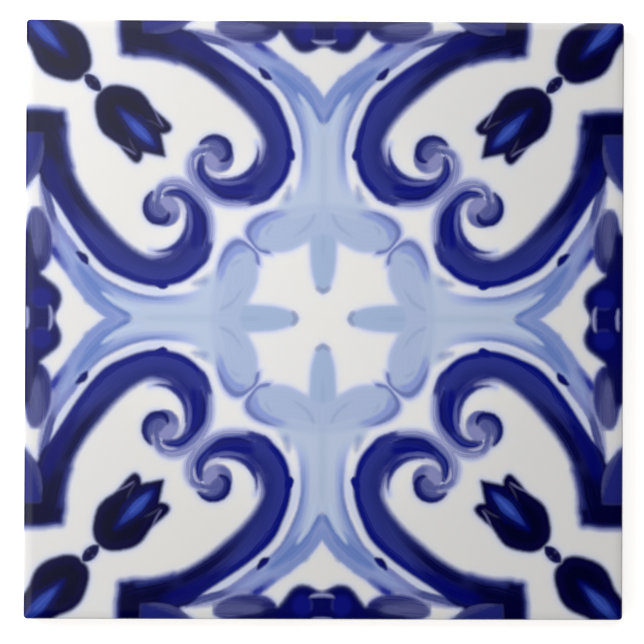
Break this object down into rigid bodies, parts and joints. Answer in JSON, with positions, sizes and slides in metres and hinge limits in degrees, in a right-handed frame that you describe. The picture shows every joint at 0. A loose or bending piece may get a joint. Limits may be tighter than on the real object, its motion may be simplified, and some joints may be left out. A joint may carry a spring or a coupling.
{
  "type": "majolica tile",
  "caption": "Square glazed wall tile with a cushion-edged painted face and a keyed back that beds into adhesive.",
  "frame": {"origin": "centre of the back plane, where the keying ribs meet the adhesive bed", "axes": "+Z is the outward normal of the glazed face; +X and +Y run along the tile's edges, +Y towards the top of the picture"},
  "size_m": [0.1524, 0.1524, 0.0064],
  "materials": {
    "tin_glaze": "glossy off-white tin glaze hand-painted in cobalt blue",
    "biscuit": "matt buff earthenware"
  },
  "bodies": {
    "root": {"tile": "tin_glaze"}
  },
  "joints": []
}
